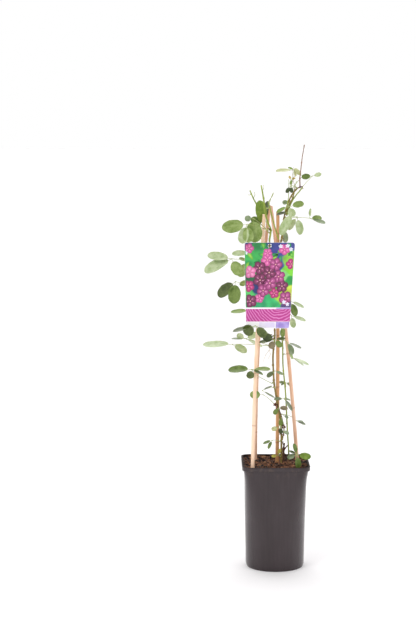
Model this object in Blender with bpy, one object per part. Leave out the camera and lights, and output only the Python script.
"""Potted chocolate vine (Akebia) twining up four bamboo canes, at its real size.

Run with: blender --background --python part.py
Units are metres and +Z is up. The origin is the centre of the pot's flat underside. -Y is the
plant's front, where the picture label hangs, and +X is its right as seen from there.
"""

import math
import random

import bmesh
import bpy
from mathutils import Matrix, Vector
from mathutils.bvhtree import BVHTree

MM = 0.001
GAP = 0.3 * MM          # clearance between pieces that touch on the real plant

# --- Pot: a tall square-rimmed nursery pot that turns round towards its foot ---------------
POT_HEIGHT = 215.6 * MM
POT_WALL = 1.4 * MM
POT_FLOOR = 3.0 * MM
RIM_BAND = 8.1 * MM     # height of the folded rim band
RIM_HALF = 68.1 * MM    # half of the rim's side
RIM_CORNER = 17.0 * MM
# height, half width and corner radius of the wall; it is round where the two are equal
POT_SECTIONS = (
    (0.0 * MM, 57.4 * MM, 57.4 * MM),
    (6.0 * MM, 59.3 * MM, 59.3 * MM),
    (95.0 * MM, 61.2 * MM, 61.2 * MM),
    (135.0 * MM, 61.8 * MM, 49.0 * MM),
    (165.0 * MM, 61.7 * MM, 35.0 * MM),
    (187.0 * MM, 62.3 * MM, 25.0 * MM),
    (201.0 * MM, 64.2 * MM, 18.5 * MM),
    (207.5 * MM, 65.6 * MM, 16.5 * MM),
)
CORNER_STEPS = 6        # facets in each quarter of a section
DRAIN_COUNT = 6
DRAIN_RADIUS = 5.0 * MM
DRAIN_CIRCLE = 42.0 * MM

# --- Potting soil --------------------------------------------------------------------------
SOIL_LEVEL = 208.0 * MM

# --- Bamboo canes: foot at soil level, tip, sideways bow and radii --------------------------
CANE_BURIED = 35.0 * MM
CANE_FOOT_RADIUS = 3.8 * MM
CANE_TIP_RADIUS = 3.3 * MM
CANE_SIDES = 10
CANES = {
    "cane_front_left": ((-47, -45), (-24.5, -10, 717), -3.0),
    "cane_back_left": ((-39, 42), (-13, 18, 733), -7.0),
    "cane_middle": ((5, 20), (2.6, -8, 722), 0.8),
    "cane_back_right": ((47, 40), (-10.5, 6, 732), 4.0),
}

# --- Picture label: a tapered plastic card hung by a ring on the main stem -----------------
LABEL_THICKNESS = 0.8 * MM
LABEL_TOP = 662.0 * MM
LABEL_BOTTOM = 491.5 * MM
LABEL_TOP_LEFT, LABEL_TOP_RIGHT = -64.0 * MM, 36.5 * MM
LABEL_BOTTOM_LEFT, LABEL_BOTTOM_RIGHT = -60.5 * MM, 26.0 * MM
LABEL_CORNER = 5.0 * MM
LABEL_Y_TOP = -25.5 * MM
LABEL_Y_BOTTOM = -35.0 * MM
LABEL_HOLE_X = -14.0 * MM
LABEL_HOLE_DROP = 6.5 * MM
LABEL_HOLE_RADIUS = 3.7 * MM
RING_RADIUS = 4.3 * MM
RING_WIRE = 0.6 * MM
RING_BEHIND = 1.7 * MM   # how far the stem lies behind the ring's centre

# --- Stems: stations (x, y, z) in millimetres, then the radii at the two ends --------------
STEM_SIDES = 6
ROUTE_STEP = 13.0 * MM
STEM_MAIN = ((13, 14, 208.3), (13, 14, 216), (13, 9, 261), (12, 7, 288), (8, 4, 315), (3, 4, 340),
             (-1, 4, 364), (-3, 6, 380), (-5, 8, 421), (-4, 6, 444), (-2, -2, 483),
             (-8, -6, 575), (-13, -19, 645), (-14, -22, 664))
STEM_MAIN_RADII = (2.1 * MM, 1.5 * MM)
STEM_GREEN = ((29, 34, 208.3), (29, 34, 216), (29, 33, 231), (26, 31, 273), (22, 27, 346),
              (16, 23, 409), (15, 20, 450), (12, 14, 486), (10, 4, 574), (9, -13, 660))
STEM_GREEN_RADII = (1.5 * MM, 1.3 * MM)
STEM_LOW = ((46, 34, 208.3), (46, 34, 213), (45, 20, 226), (44, 6, 232))
STEM_LOW_RADII = (1.2 * MM, 0.9 * MM)
STUB = ((19, 32, 208.3), (19, 32, 214), (18.5, 31.5, 233), (20, 30, 246))
STUB_RADII = (2.6 * MM, 1.6 * MM)

# --- Boughs: each grows on from a stem's tip, or from its side -----------------------------
BOUGH_LEFT = ((-12, -24, 687), (-18, -25, 702), (-23, -25, 722), (-26, -24, 746), (-31, -22, 775))
BOUGH_LEFT_RADII = (2.0 * MM, 1.5 * MM)
BOUGH_OUTER_NODE = 600 * MM
BOUGH_OUTER = ((-18, -1, 614), (-27, 0, 655), (-34, -1, 700), (-39, -3, 733), (-46, -4, 748),
               (-53, -4, 764))
BOUGH_OUTER_RADII = (1.7 * MM, 1.3 * MM)
BOUGH_RIGHT = ((13, -14, 684), (15, -10, 711), (20, -6, 725), (25, -2, 743), (31, 0, 755),
               (39, 4, 765), (44, 6, 769))
BOUGH_RIGHT_RADII = (1.9 * MM, 1.4 * MM)
LEADER = ((47, 8, 788), (50, 11, 815), (52, 12, 832), (56, 15, 854))
LEADER_RADII = (1.3 * MM, 0.8 * MM)

# --- Leaves: a long stalk to a hub that carries up to five leaflets ------------------------
SPUR_LENGTH = 6.0 * MM
SPUR_RADII = (1.2 * MM, 0.9 * MM)
STALK_RADII = (0.8 * MM, 0.6 * MM)
STALK_BENDS = 3
LEAFLET_STALK = 0.2      # share of the reach from hub to tip that is bare stalk
LEAFLET_STALK_MAX = 7.0 * MM
LEAFLET_WIDTH = 0.6      # of the blade's length, unless the table makes it rounder
LEAFLET_THICKNESS = 1.1 * MM
# along the blade: share of its length, share of its half width
BLADE_SECTIONS = ((0.17, 0.68), (0.5, 1.0), (0.84, 0.82))
SEED = 21

# Every spray: name, the limb it grows on, the height of its node there, then its leaves. A leaf
# is its hub (x, y, z) and its leaflets: bearing in degrees anticlockwise from +X, reach from hub
# to tip and width, all as seen from the front. A leaflet that shows less width than it has is
# turned that far edge-on. All in mm.
SPRAYS = (
    ("foliage_left_outer", "bough_left", 690, (
        ((-60, -50, 700), ((-172, 49, 26), (-105, 40, 21), (-83, 37, 22))),
        ((-48, -36, 711), ((-175, 16, 12), (-84, 48, 32))))),
    ("foliage_left_upright", "bough_left", 680, (
        ((-27, -2, 693), ((98, 52, 22), (143, 28, 17))),
        ((-22, 3, 705), ((84, 38, 10),)))),
    ("foliage_left_tip", "bough_left", 729, (
        ((-8, -26, 759), ()),)),
    ("foliage_label_left_high", "stem_main", 600, (
        ((-90, -42, 631), ((171, 48, 14), (-155, 59, 18), (-61, 36, 23))),
        ((-50, 12, 637), ((179, 38, 9),)),
        ((-54, 20, 620), ((-124, 37, 20), (160, 21, 6))))),
    ("foliage_label_left_mid", "stem_main", 560, (
        ((-82, -25, 584), ((-139, 46, 20), (-94, 44, 26))),
        ((-51, 30, 580), ((-160, 23, 11),)))),
    ("foliage_label_left_low", "stem_main", 515, (
        ((-53, -10, 525), ((-176, 38, 7), (-85, 26, 12))),)),
    ("foliage_label_foot", "stem_main", 472, (
        ((-43, -52, 499), ((-145, 27, 24), (-47, 32, 18), (-166, 46, 5))),)),
    ("foliage_fork", "stem_main", 460, (
        ((-4, -38, 469), ((160, 25, 17), (-172, 31, 4), (-115, 20, 14),
                          (-44, 20, 12), (6, 22, 4))),)),
    ("foliage_left_pale", "stem_main", 448, (
        ((-60, 60, 458), ((155, 19, 13), (22, 29, 13), (-25, 40, 5),
                          (179, 28, 2))),
        ((-88, 40, 449), ((-179, 59, 9), (-26, 35, 14))))),
    ("foliage_label_right", "stem_green", 530, (
        ((29, -8, 543), ((-25, 30, 6), (-70, 32, 14))),
        ((31, -2, 513), ((-20, 31, 6), (-78, 25, 12))))),
    ("foliage_right_hanging", "stem_green", 462, (
        ((14, -12, 495), ((-92, 24, 10),)),
        ((21, -18, 462), ((-60, 30, 11), (-22, 32, 2), (-70, 38, 6))))),
    ("foliage_right_narrow", "stem_green", 430, (
        ((35, 60, 420), ((-23, 39, 2), (-35, 32, 2))),)),
    ("foliage_left_dark", "stem_main", 375, (
        ((-50, -40, 410), ((-177, 46, 11), (-99, 20, 16), (2, 38, 4),
                           (-24, 26, 4))),)),
    ("foliage_inner_high", "stem_main", 396, (
        ((-2, -22, 404), ((-142, 21, 9), (-22, 18, 5))),)),
    ("foliage_left_forked", "stem_main", 366, (
        ((-29, -58, 370), ((-29, 30, 2), (24, 22, 2))),)),
    ("foliage_left_round", "stem_main", 332, (
        ((-25, 24, 348), ((-180, 26, 17),)),)),
    ("foliage_green_high", "stem_green", 362, (
        ((22, 36, 371), ((180, 13, 6), (-30, 16, 5), (-150, 11, 3))),)),
    ("foliage_green_mid", "stem_green", 337, (
        ((17, 2, 344), ((-178, 20, 5), (-55, 31, 6), (-15, 14, 3))),)),
    ("foliage_inner_mid", "stem_main", 322, (
        ((5, -12, 327), ((-6, 20, 9), (-122, 16, 10))),)),
    ("foliage_right_thin", "stem_main", 308, (
        ((45, 62, 287), ((-20, 21, 3), (-5, 15, 2))),
        ((17, 14, 307), ((-30, 12, 5),)))),
    ("foliage_inner_low", "stem_main", 290, (
        ((12, -8, 307), ((-95, 19, 9),)),
        ((6, -12, 287), ((-162, 15, 10), (-60, 15, 9))),
        ((13, -10, 279), ((-20, 16, 7),)))),
    ("foliage_foot_left", "stem_main", 256, (
        ((-7, -30, 264), ((-160, 20, 4), (-118, 19, 6))),)),
    ("foliage_foot_yellow", "stem_main", 224, (
        ((5, -10, 229), ((-170, 13, 6), (70, 14, 6))),)),
    ("foliage_foot_right", "stem_low", 230, (
        ((43, -16, 232), ((105, 23, 9), (151, 17, 4), (-162, 20, 10),
                          (-10, 29, 14))),
        ((40, -58, 240), ((-80, 30, 12),)))),
    ("foliage_crown_left", "bough_right", 760, (
        ((36, 20, 804), ((-177, 37, 5), (157, 13, 4), (-75, 14, 5))),
        ((54, 40, 790), ((137, 23, 9),)),
        ((29, 12, 785), ((115, 8, 5), (20, 10, 4))))),
    ("foliage_crown_right", "bough_right", 752, (
        ((73, 20, 792), ((-174, 22, 12), (13, 18, 9))),)),
    ("foliage_crown_dark", "bough_right", 766, (
        ((27, -16, 773), ((-122, 16, 8), (-75, 14, 8), (80, 12, 5))),)),
    ("foliage_right_inner", "bough_right", 738, (
        ((26, 18, 742), ((-160, 14, 9),)),
        ((21, -22, 734), ((-150, 25, 6),)),
        ((22, -24, 722), ((-168, 23, 5),)))),
    ("foliage_right_front", "bough_right", 728, (
        ((25, -34, 734), ((12, 29, 13), (-73, 22, 16))),
        ((31, -52, 721), ((-121, 50, 17),)))),
    ("foliage_right_side", "bough_right", 712, (
        ((43, 24, 710), ((-124, 32, 11), (-79, 37, 16))),
        ((69, 40, 706), ((85, 20, 5), (0, 25, 11), (-17, 33, 6))))),
    ("foliage_right_behind", "bough_right", 690, (
        ((17, 24, 686), ((-85, 28, 13),)),)),
)

# Sprays on the side that faces away: the leaves there follow one rule. Each is its name, the
# limb, the node's height, the stalk's compass angle (90 is straight back), and its length.
BACK_SPRAYS = (
    ("foliage_back_high", "stem_main", 640, 96, 62),
    ("foliage_back_upper", "stem_green", 602, 112, 84),
    ("foliage_back_mid", "stem_green", 562, 118, 58),
    ("foliage_back_lower", "stem_main", 522, 98, 80),
)
BACK_RISE = 12.0 * MM
BACK_LEAFLETS = 5
BACK_LEAFLET_REACH = 34.0 * MM
BACK_FAN = 68.0          # degrees between neighbouring leaflets
BACK_DROOP = 24.0        # degrees that the blades hang below level

COLORS = {
    "pot": (0.066, 0.056, 0.052), "soil": (0.045, 0.024, 0.014),
    "cane": (0.78, 0.56, 0.40), "label": (0.42, 0.06, 0.30), "ring": (0.80, 0.80, 0.78),
    "bark": (0.20, 0.11, 0.05), "green_stem": (0.22, 0.34, 0.07), "leaf": (0.13, 0.27, 0.07),
}


# --- Scene, materials and plain meshes -----------------------------------------------------

def clear_scene():
    for item in list(bpy.data.objects):
        bpy.data.objects.remove(item, do_unlink=True)


def new_collection(name):
    collection = bpy.data.collections.new(name)
    bpy.context.scene.collection.children.link(collection)
    return collection


def principled(name, color, roughness=0.6):
    material = bpy.data.materials.new(name)
    material.use_nodes = True
    shader = material.node_tree.nodes["Principled BSDF"]
    shader.inputs["Base Color"].default_value = (*color, 1.0)
    shader.inputs["Roughness"].default_value = roughness
    shader.inputs["Metallic"].default_value = 0.0
    return material


def mesh_object(name, bm, collection, material=None, smooth=False):
    """Turn a bmesh into a named object with its normals facing out."""
    bmesh.ops.recalc_face_normals(bm, faces=bm.faces[:])
    mesh = bpy.data.meshes.new(name)
    bm.to_mesh(mesh)
    bm.free()
    item = bpy.data.objects.new(name, mesh)
    collection.objects.link(item)
    if material is not None:
        mesh.materials.append(material)
    if smooth:
        mesh.shade_smooth()
        mesh.set_sharp_from_angle(angle=math.radians(35.0))
    return item


def evaluated_mesh(item):
    depsgraph = bpy.context.evaluated_depsgraph_get()
    return bpy.data.meshes.new_from_object(item.evaluated_get(depsgraph), depsgraph=depsgraph)


def curve_to_mesh(item, collection, material, smooth):
    """Replace a curve object by its mesh, with the caps welded on."""
    mesh = evaluated_mesh(item)
    bm = bmesh.new()
    bm.from_mesh(mesh)
    bpy.data.meshes.remove(mesh)
    bmesh.ops.transform(bm, matrix=item.matrix_world, verts=bm.verts[:])
    bmesh.ops.remove_doubles(bm, verts=bm.verts[:], dist=0.01 * MM)
    name = item.name
    bpy.data.objects.remove(item, do_unlink=True)
    return mesh_object(name, bm, collection, material, smooth)


def boolean(item, operation, operands):
    """Apply one Boolean with a whole collection, and remove that collection's objects."""
    modifier = item.modifiers.new("boolean", "BOOLEAN")
    modifier.operation = operation
    modifier.operand_type = "COLLECTION"
    modifier.collection = operands
    modifier.solver = "EXACT"
    bpy.context.view_layer.update()
    result = evaluated_mesh(item)
    item.modifiers.remove(modifier)
    old = item.data
    item.data = result
    bpy.data.meshes.remove(old)
    for operand in list(operands.objects):
        bpy.data.objects.remove(operand, do_unlink=True)
    bpy.data.collections.remove(operands)


def cutter_collection(name):
    collection = new_collection(name)
    collection.hide_render = True
    return collection


def hide_cutter(item):
    item.hide_render = True
    item.display_type = "WIRE"


# --- Pot and soil --------------------------------------------------------------------------

def rounded_square(half, corner, height):
    """Points of a square with round corners, anticlockwise from the right side's top corner."""
    points = []
    middle = half - corner
    for quarter in range(4):
        turn = math.radians(90.0 * quarter)
        cx = middle * (math.cos(turn) - math.sin(turn))
        cy = middle * (math.sin(turn) + math.cos(turn))
        for step in range(CORNER_STEPS + 1):
            angle = turn + math.radians(90.0) * (step + 0.02) / (CORNER_STEPS + 0.04)
            points.append(Vector((cx + corner * math.cos(angle), cy + corner * math.sin(angle),
                                  height)))
    return points


def loft(sections):
    """Closed skin through sections that have one number of points each, capped at both ends."""
    bm = bmesh.new()
    rings = [[bm.verts.new(point) for point in section] for section in sections]
    for low, high in zip(rings, rings[1:]):
        for i, corner in enumerate(low):
            j = (i + 1) % len(low)
            bm.faces.new((corner, low[j], high[j], high[i]))
    bm.faces.new(reversed(rings[0]))
    bm.faces.new(rings[-1])
    bmesh.ops.remove_doubles(bm, verts=bm.verts[:], dist=0.001 * MM)
    return bm


def wall_at(height):
    """Half width and corner radius of the pot's outer wall at a height."""
    for (z0, half0, corner0), (z1, half1, corner1) in zip(POT_SECTIONS, POT_SECTIONS[1:]):
        if height <= z1:
            share = (height - z0) / (z1 - z0)
            return half0 + share * (half1 - half0), corner0 + share * (corner1 - corner0)
    return POT_SECTIONS[-1][1:]


def inner_section(height, inset):
    half, corner = wall_at(height)
    return rounded_square(half - inset, corner - inset, height)


def build_pot(collection):
    outer = [rounded_square(half, corner, z) for z, half, corner in POT_SECTIONS]
    rim_base = POT_HEIGHT - RIM_BAND
    outer.append(rounded_square(RIM_HALF, RIM_CORNER, rim_base))
    outer.append(rounded_square(RIM_HALF, RIM_CORNER, POT_HEIGHT))
    half, corner = POT_SECTIONS[-1][1:]
    inner = [rounded_square(half - POT_WALL, corner - POT_WALL, POT_HEIGHT)]
    heights = [z for z, _, _ in POT_SECTIONS if z > POT_FLOOR] + [POT_FLOOR]
    inner += [inner_section(z, POT_WALL) for z in sorted(heights, reverse=True)]
    pot = mesh_object("pot", loft(outer + inner), collection,
                      principled("dark_plastic", COLORS["pot"], 0.45), smooth=True)
    holes = cutter_collection("drain_cutters")
    for i in range(DRAIN_COUNT):
        turn = math.tau * (i + 0.5) / DRAIN_COUNT
        bm = bmesh.new()
        bmesh.ops.create_cone(bm, cap_ends=True, segments=12, radius1=DRAIN_RADIUS,
                              radius2=DRAIN_RADIUS, depth=4.0 * POT_FLOOR)
        place = Vector((DRAIN_CIRCLE * math.cos(turn), DRAIN_CIRCLE * math.sin(turn), 0.0))
        bmesh.ops.translate(bm, verts=bm.verts[:], vec=place)
        hide_cutter(mesh_object(f"drain_cutter_{i}", bm, holes))
    boolean(pot, "DIFFERENCE", holes)
    pot.data.shade_smooth()
    pot.data.set_sharp_from_angle(angle=math.radians(35.0))
    return pot


def build_soil(collection, canes):
    """Soil that fills the pot, with a socket for each cane."""
    inset = POT_WALL + GAP
    heights = [POT_FLOOR + GAP]
    heights += [z for z, _, _ in POT_SECTIONS if POT_FLOOR + GAP < z < SOIL_LEVEL]
    heights.append(SOIL_LEVEL)
    soil = mesh_object("potting_soil", loft([inner_section(z, inset) for z in heights]),
                       collection, principled("potting_soil", COLORS["soil"], 0.95))
    sockets = cutter_collection("socket_cutters")
    for name, points in canes.items():
        axis = [points[0] - (points[1] - points[0]).normalized() * GAP, points[1], points[2]]
        radius = CANE_FOOT_RADIUS + GAP
        hide_cutter(tube(f"socket_{name}", axis, [radius] * 3, sockets, None, CANE_SIDES))
    boolean(soil, "DIFFERENCE", sockets)
    return soil


# --- Canes, stems and boughs ---------------------------------------------------------------

def tube(name, points, radii, collection, material, sides):
    """Round limb along a route, with a radius at each point and filled ends."""
    curve = bpy.data.curves.new(name, "CURVE")
    curve.dimensions = "3D"
    curve.bevel_depth = 1.0
    curve.bevel_resolution = (sides - 4) // 2
    curve.use_fill_caps = True
    spline = curve.splines.new("POLY")
    spline.points.add(len(points) - 1)
    for knot, point, radius in zip(spline.points, points, radii):
        knot.co = (*point, 1.0)
        knot.radius = radius
    item = bpy.data.objects.new(name, curve)
    collection.objects.link(item)
    bpy.context.view_layer.update()
    return curve_to_mesh(item, collection, material, smooth=True)


def smooth_route(stations, step=ROUTE_STEP):
    """Catmull-Rom curve through the stations, read off about every step."""
    ends = [stations[0] * 2 - stations[1], *stations, stations[-1] * 2 - stations[-2]]
    route = [stations[0]]
    for a, b, c, d in zip(ends, ends[1:], ends[2:], ends[3:]):
        count = max(1, round((c - b).length / step))
        for i in range(1, count + 1):
            t = i / count
            route.append(0.5 * (2 * b + (c - a) * t + (2 * a - 5 * b + 4 * c - d) * t ** 2
                                + (3 * b - a - 3 * c + d) * t ** 3))
    return route


def taper(radii, count):
    return [radii[0] + (radii[1] - radii[0]) * i / (count - 1) for i in range(count)]


def millimetres(stations):
    return [Vector(station) * MM for station in stations]


def cane_points(foot, tip, bow):
    """Cane axis from its buried end to its tip, bowed sideways between soil and tip."""
    start = Vector((foot[0] * MM, foot[1] * MM, SOIL_LEVEL))
    end = Vector(tip) * MM
    points = []
    for i in range(9):
        t = i / 8
        points.append(start.lerp(end, t) + Vector((bow * MM * 4 * t * (1 - t), 0, 0)))
    down = (points[0] - points[1]).normalized()
    return [points[0] + down * CANE_BURIED] + points


def build_canes(collection, material):
    axes = {}
    for name, (foot, tip, bow) in CANES.items():
        points = cane_points(foot, tip, bow)
        radii = taper((CANE_FOOT_RADIUS, CANE_TIP_RADIUS), len(points))
        tube(name, points, radii, collection, material, CANE_SIDES)
        axes[name] = points
    return axes


def grow_on(route):
    """Start of a bough that carries on from the tip of a limb, just clear of it."""
    ahead = (route[-1] - route[-2]).normalized()
    return [route[-1] + ahead * GAP, route[-1] + ahead * 4.0 * MM]


def axis_at(limb, height):
    """Point, radius and direction of a limb's axis where it passes a height."""
    route, radii = limb
    for i, (low, high) in enumerate(zip(route, route[1:])):
        if low.z <= height <= high.z:
            share = (height - low.z) / (high.z - low.z)
            radius = radii[i] + (radii[i + 1] - radii[i]) * share
            return low.lerp(high, share), radius, (high - low).normalized()
    raise ValueError("the limb does not pass that height")


def side_root(limb, height, towards, own_radius):
    """Where a side limb leaves another: its first point, and the way it points."""
    point, radius, along = axis_at(limb, height)
    out = towards - point
    out = (out - along * out.dot(along)).normalized()
    return point + out * (radius + GAP + 0.1 * own_radius), out


def build_limbs(collection, bark, green):
    """Stems and boughs, as {name: (route, radii)}."""
    limbs = {}

    def add(name, stations, radii, material):
        route = smooth_route(stations)
        limbs[name] = (route, taper(radii, len(route)))
        tube(name, *limbs[name], collection, material, STEM_SIDES)

    add("stem_main", millimetres(STEM_MAIN), STEM_MAIN_RADII, bark)
    add("stem_green", millimetres(STEM_GREEN), STEM_GREEN_RADII, green)
    add("stem_low", millimetres(STEM_LOW), STEM_LOW_RADII, green)
    add("stem_dead_stub", millimetres(STUB), STUB_RADII, bark)
    for name, stem, stations, radii, material in (
            ("bough_left", "stem_main", BOUGH_LEFT, BOUGH_LEFT_RADII, green),
            ("bough_right", "stem_green", BOUGH_RIGHT, BOUGH_RIGHT_RADII, bark),
            ("bough_leader", "bough_right", LEADER, LEADER_RADII, bark)):
        add(name, grow_on(limbs[stem][0]) + millimetres(stations), radii, material)
    stations = millimetres(BOUGH_OUTER)
    root, out = side_root(limbs["stem_main"], BOUGH_OUTER_NODE, stations[0], BOUGH_OUTER_RADII[0])
    add("bough_outer", [root, root + out * 3.0 * MM] + stations, BOUGH_OUTER_RADII, green)
    return limbs


# --- Label and its ring --------------------------------------------------------------------

def label_outline():
    """Corners of the card in its own plane, rounded, from bottom left anticlockwise."""
    height = LABEL_TOP - LABEL_BOTTOM
    corners = [Vector((LABEL_BOTTOM_LEFT, 0)), Vector((LABEL_BOTTOM_RIGHT, 0)),
               Vector((LABEL_TOP_RIGHT, height)), Vector((LABEL_TOP_LEFT, height))]
    points = []
    for i, corner in enumerate(corners):
        before = (corners[i - 1] - corner).normalized() * LABEL_CORNER
        after = (corners[(i + 1) % 4] - corner).normalized() * LABEL_CORNER
        for step in range(5):
            t = step / 4
            points.append(corner + before * (1 - t) ** 2 + after * t ** 2)
    return points


def build_label(collection):
    curve = bpy.data.curves.new("picture_label", "CURVE")
    curve.dimensions = "2D"
    curve.fill_mode = "BOTH"
    curve.extrude = LABEL_THICKNESS / 2
    hole_y = LABEL_TOP - LABEL_BOTTOM - LABEL_HOLE_DROP
    hole = [Vector((LABEL_HOLE_X + LABEL_HOLE_RADIUS * math.cos(math.tau * i / 14),
                    hole_y + LABEL_HOLE_RADIUS * math.sin(math.tau * i / 14)))
            for i in range(14)]
    for outline in (label_outline(), hole):
        spline = curve.splines.new("POLY")
        spline.points.add(len(outline) - 1)
        spline.use_cyclic_u = True
        for knot, point in zip(spline.points, outline):
            knot.co = (*point, 0.0, 1.0)
    item = bpy.data.objects.new("picture_label", curve)
    collection.objects.link(item)
    lean = math.atan2(LABEL_Y_TOP - LABEL_Y_BOTTOM, LABEL_TOP - LABEL_BOTTOM)
    item.rotation_euler = (math.radians(90.0) - lean, 0.0, 0.0)
    item.location = (0.0, LABEL_Y_BOTTOM, LABEL_BOTTOM)
    bpy.context.view_layer.update()
    curve_to_mesh(item, collection, principled("label_card", COLORS["label"], 0.35), False)


def build_ring(collection, limbs):
    """Thin plastic ring round the main stem and through the label's hole."""
    height = LABEL_TOP - LABEL_HOLE_DROP
    stem = axis_at(limbs["stem_main"], height)[0]
    centre = Vector((LABEL_HOLE_X, stem.y - RING_BEHIND, height))
    bpy.ops.mesh.primitive_torus_add(major_radius=RING_RADIUS, minor_radius=RING_WIRE,
                                     major_segments=20, minor_segments=6, location=centre)
    ring = bpy.context.object
    ring.name = "label_ring"
    ring.data.name = "label_ring"
    for owner in list(ring.users_collection):
        owner.objects.unlink(ring)
    collection.objects.link(ring)
    ring.data.materials.append(principled("ring_plastic", COLORS["ring"], 0.4))
    return ring


# --- Sprays of leaves ----------------------------------------------------------------------

def twig_piece(points, radii, margin=0.0):
    """Three-sided tapering twig along a route as a bmesh, a little longer at both ends."""
    sideways = (points[-1] - points[0]).cross(Vector((0.31, 0.87, 0.38))).normalized()
    last = len(points) - 1
    sections = []
    for i, point in enumerate(points):
        along = (points[min(i + 1, last)] - points[max(i - 1, 0)]).normalized()
        side = (sideways - along * sideways.dot(along)).normalized()
        up = along.cross(side)
        reach = 0.5 * radii[i] + margin
        middle = point + along * (reach * ((i == last) - (i == 0)))
        sections.append([middle + (side * math.cos(math.tau * k / 3)
                                   + up * math.sin(math.tau * k / 3)) * (radii[i] + margin)
                         for k in range(3)])
    return loft(sections)


def blade_length(reach):
    return reach - min(LEAFLET_STALK * reach, LEAFLET_STALK_MAX)


def leaflet_piece(hub, pose, margin=0.0):
    """Leaflet on its stalk as a bmesh: a three-sided stalk that flattens into an oval blade."""
    along, reach, width, normal = pose
    side = normal.cross(along)
    blade = blade_length(reach)
    bare = reach - blade
    stations = [(-0.5 * STALK_RADII[1] - margin, STALK_RADII[1]), (bare, STALK_RADII[1])]
    stations += [(bare + share * blade, part * width / 2) for share, part in BLADE_SECTIONS]
    half_thick = LEAFLET_THICKNESS / 2 + margin
    sections = []
    for distance, half_width in stations:
        middle = hub + along * distance
        edge = side * (half_width + margin)
        sections.append([middle + edge - normal * half_thick, middle + normal * half_thick,
                         middle - edge - normal * half_thick])
    sections.append([hub + along * (reach + margin)] * 3)
    return loft(sections)


def is_clear(make, obstacles):
    """True when the piece, grown by the gap, touches nothing that is already built."""
    bm = make(GAP)
    tree = BVHTree.FromBMesh(bm)
    bm.free()
    return not any(tree.overlap(other) for other in obstacles)


def facing(along, turn):
    """Blade normal: towards the front, turned about the leaflet so that its top looks up."""
    front = Vector((0, -1, 0))
    front = (front - along * front.dot(along)).normalized()
    options = [Matrix.Rotation(sign * turn, 3, along) @ front for sign in (1, -1)]
    return max(options, key=lambda normal: normal.z)


def front_leaflets(rows, rng):
    """Poses of each leaflet in the table, as (direction, reach, width, blade normal)."""
    leaflets = []
    for bearing, reach, seen in rows:
        angle = math.radians(bearing)
        first = rng.uniform(-14.0, 14.0)
        width = max(LEAFLET_WIDTH * blade_length(reach * MM), seen * MM)
        turn = math.acos(seen * MM / width)
        choices = []
        for lean in (first, -first, 20.0, -20.0, 32.0, -32.0):
            tilt = math.radians(lean)
            along = Vector((math.cos(angle) * math.cos(tilt), math.sin(tilt),
                            math.sin(angle) * math.cos(tilt)))
            choices.append((along, reach * MM / math.cos(tilt), width, facing(along, turn)))
        leaflets.append(choices)
    return leaflets


def back_leaflets(out, rng):
    """Leaflets fanned evenly round the end of a stalk, their blades hanging a little."""
    leaflets = []
    for i in range(BACK_LEAFLETS):
        choices = []
        for attempt in range(4):
            swing = BACK_FAN * (i - (BACK_LEAFLETS - 1) / 2) + rng.uniform(-9.0, 9.0)
            droop = BACK_DROOP + rng.uniform(-16.0, 16.0) + 9.0 * attempt
            level = Matrix.Rotation(math.radians(swing), 3, "Z") @ out
            level = Vector((level.x, level.y, 0.0)).normalized()
            dip = math.radians(droop)
            along = level * math.cos(dip) - Vector((0, 0, math.sin(dip)))
            normal = level * math.sin(dip) + Vector((0, 0, math.cos(dip)))
            reach = BACK_LEAFLET_REACH * rng.uniform(0.8, 1.05)
            width = LEAFLET_WIDTH * blade_length(reach)
            choices.append((along, reach, width, normal))
        leaflets.append(choices)
    return leaflets


def stalk_route(start, end, bow):
    """Points of a stalk that runs straight from start to end but for one bow."""
    points = []
    for i in range(STALK_BENDS + 1):
        t = i / STALK_BENDS
        points.append(start.lerp(end, t) + bow * 4 * t * (1 - t))
    return points


def clear_stalk(start, end, obstacles):
    """The stalk, bowed as little as lets it pass everything, or None."""
    along = (end - start).normalized()
    across = along.cross(Vector((0, 0, 1))).normalized()
    up = across.cross(along)
    for size in (1.5, 4.0, 7.0, 11.0, 16.0, 22.0):
        for turn in (90, 45, 135, 0, 180, -45, -135, -90):
            angle = math.radians(turn)
            bow = (across * math.cos(angle) + up * math.sin(angle)) * size * MM
            route = stalk_route(start, end, bow)

            def make(margin=0.0, route=route):
                return twig_piece(route, taper(STALK_RADII, len(route)), margin)
            if is_clear(make, obstacles):
                return make
    return None


def clear_spur(limb, height, towards, obstacles):
    """Ends of the spur that leaves its limb as nearly towards the leaves as is clear."""
    for turn in (0, 25, -25, 50, -50, 75, -75, 100, -100):
        node = side_root(limb, height, towards, SPUR_RADII[0])[0]
        aim = node + Matrix.Rotation(math.radians(turn), 3, "Z") @ (towards - node)
        root, out = side_root(limb, height, aim, SPUR_RADII[0])
        start = root + out * 0.5 * SPUR_RADII[0]
        end = root + out * SPUR_LENGTH
        if is_clear(lambda margin: twig_piece([start, end], SPUR_RADII, 0.5 * margin), obstacles):
            return start, end
    raise ValueError("no clear way out of the limb")


def clear_leaflet(hub, choices, obstacles):
    """The leaflet in the first of its poses that is clear, or None."""
    for pose in choices:
        def make(margin=0.0, pose=pose):
            return leaflet_piece(hub, pose, margin)
        if is_clear(make, obstacles):
            return make
    return None


def largest_island(bm):
    """Keep only the largest connected shell: scraps and sealed inner shells go."""
    left = set(bm.verts)
    best = set()
    while left:
        start = left.pop()
        island = {start}
        stack = [start]
        while stack:
            corner = stack.pop()
            for edge in corner.link_edges:
                other = edge.other_vert(corner)
                if other not in island:
                    island.add(other)
                    stack.append(other)
        left -= island
        if len(island) > len(best):
            best = island
    bmesh.ops.delete(bm, geom=[corner for corner in bm.verts if corner not in best],
                     context="VERTS")


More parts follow.
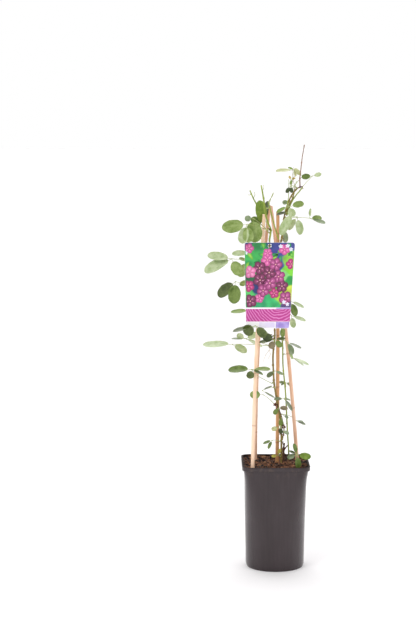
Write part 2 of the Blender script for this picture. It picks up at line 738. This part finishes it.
def build_spray(name, limb, height, leaves, collection, material, obstacles):
    """One mass: a spur on a limb, its leaf stalks and their leaflets, fused into one solid."""
    middle = sum((hub for hub, _ in leaves), Vector()) / len(leaves)
    start, spur_end = clear_spur(limb, height, middle, obstacles)
    pieces = cutter_collection(f"{name}_pieces")
    count = 0
    for hub, leaflets in leaves:
        stalk = clear_stalk(spur_end, hub, obstacles)
        if stalk is None:
            print("skipped leaf of", name)
            continue
        blades = [clear_leaflet(hub, choices, obstacles) for choices in leaflets]
        for make in [stalk] + [blade for blade in blades if blade is not None]:
            hide_cutter(mesh_object(f"{name}_piece_{count}", make(), pieces))
            count += 1
    spur = twig_piece([start, spur_end], SPUR_RADII)
    spray = mesh_object(name, spur, collection, material)
    boolean(spray, "UNION", pieces)
    bm = bmesh.new()
    bm.from_mesh(spray.data)
    largest_island(bm)
    obstacles.append(BVHTree.FromBMesh(bm))
    bm.to_mesh(spray.data)
    bm.free()
    return spray


def build_sprays(collection, material, limbs, obstacles):
    rng = random.Random(SEED)
    for name, limb, height, leaves in SPRAYS:
        rows = [(Vector(hub) * MM, front_leaflets(leaflets, rng)) for hub, leaflets in leaves]
        build_spray(name, limbs[limb], height * MM, rows, collection, material, obstacles)
    for name, limb, height, compass, length in BACK_SPRAYS:
        angle = math.radians(compass)
        out = Vector((math.cos(angle), math.sin(angle), 0.0))
        node = axis_at(limbs[limb], height * MM)[0]
        hub = node + out * length * MM + Vector((0, 0, BACK_RISE))
        rows = [(hub, back_leaflets(out, rng))]
        build_spray(name, limbs[limb], height * MM, rows, collection, material, obstacles)


def main():
    clear_scene()
    collection = new_collection("potted_chocolate_vine")
    cane_material = principled("bamboo", COLORS["cane"], 0.5)
    bark = principled("vine_bark", COLORS["bark"], 0.85)
    green = principled("green_shoot", COLORS["green_stem"], 0.6)
    build_pot(collection)
    canes = build_canes(collection, cane_material)
    build_soil(collection, canes)
    limbs = build_limbs(collection, bark, green)
    build_label(collection)
    build_ring(collection, limbs)
    bpy.context.view_layer.update()
    obstacles = []
    for item in collection.objects:
        bm = bmesh.new()
        bm.from_object(item, bpy.context.evaluated_depsgraph_get())
        bmesh.ops.transform(bm, matrix=item.matrix_world, verts=bm.verts[:])
        obstacles.append(BVHTree.FromBMesh(bm))
        bm.free()
    leaf = principled("leaf", COLORS["leaf"], 0.6)
    build_sprays(collection, leaf, limbs, obstacles)


main()
